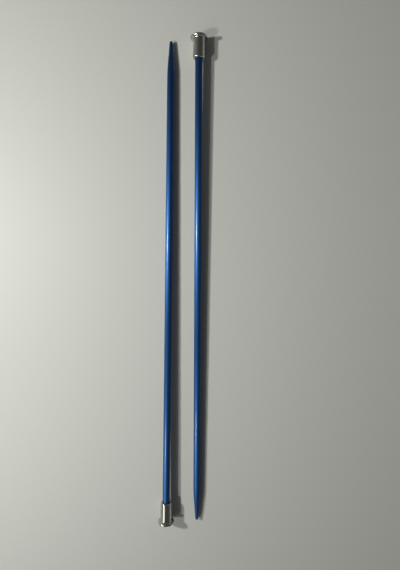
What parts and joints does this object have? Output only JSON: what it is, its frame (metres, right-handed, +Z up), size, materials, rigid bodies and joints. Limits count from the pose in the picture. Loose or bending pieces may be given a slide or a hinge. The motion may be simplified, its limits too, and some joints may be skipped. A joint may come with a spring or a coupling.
{
  "type": "pair of knitting needles",
  "caption": "Pair of straight knitting needles: blue anodised tube shafts with turned blunt points and plated, flanged stopper caps, lying head to point",
  "frame": {"origin": "middle of the pair's footprint, on the table that both needles lie on", "axes": "+Z up, +Y along the needles towards the left needle's point, +X from the left needle to the right one"},
  "size_m": [0.0314, 0.3006, 0.0104],
  "materials": {
    "anodised_blue": "bright anodised blue, satin",
    "plated_cap": "bright nickel plate, polished"
  },
  "bodies": {
    "left_needle": {"left_shaft": "anodised_blue", "left_stopper_cap": "plated_cap"},
    "right_needle": {"right_shaft": "anodised_blue", "right_stopper_cap": "plated_cap"}
  },
  "joints": [
    {"name": "right_needle_lift", "type": "slide", "parent": "left_needle", "child": "right_needle", "axis": [0, 0, 1], "range_m": [0, 0.06]}
  ]
}
